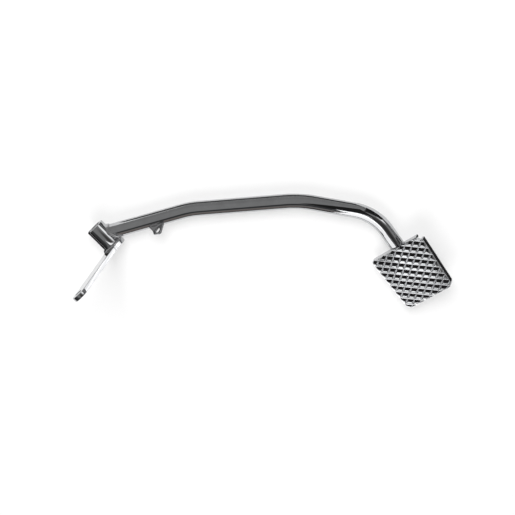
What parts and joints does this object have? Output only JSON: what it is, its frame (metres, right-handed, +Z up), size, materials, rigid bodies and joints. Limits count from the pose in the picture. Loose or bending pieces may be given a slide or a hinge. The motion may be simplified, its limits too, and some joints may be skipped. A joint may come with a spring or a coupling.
{
  "type": "rear brake pedal",
  "caption": "Chromed steel motorbike rear brake pedal: pivot tube with an upright rod lever, a bent tubular arm with a spring tab, and a square foot pad with a diamond-stud tread.",
  "frame": {"origin": "middle of the pivot bore, on its axis", "axes": "+X forward along the motorbike, +Y to the left, towards the frame, along the pivot axis, +Z up; the bent arm lies level"},
  "size_m": [0.2501, 0.2545, 0.099],
  "materials": {
    "chrome": "bright chrome plating on steel, lightly used",
    "chrome_weld": "chrome plating over rippled weld beads"
  },
  "bodies": {
    "root": {"pivot_tube": "chrome", "rod_lever": "chrome", "arm_tube": "chrome", "spring_tab": "chrome", "foot_pad": "chrome", "arm_weld": "chrome_weld", "lever_weld": "chrome_weld", "tab_weld": "chrome_weld", "pad_weld_front": "chrome_weld", "pad_weld_rear": "chrome_weld"}
  },
  "joints": []
}
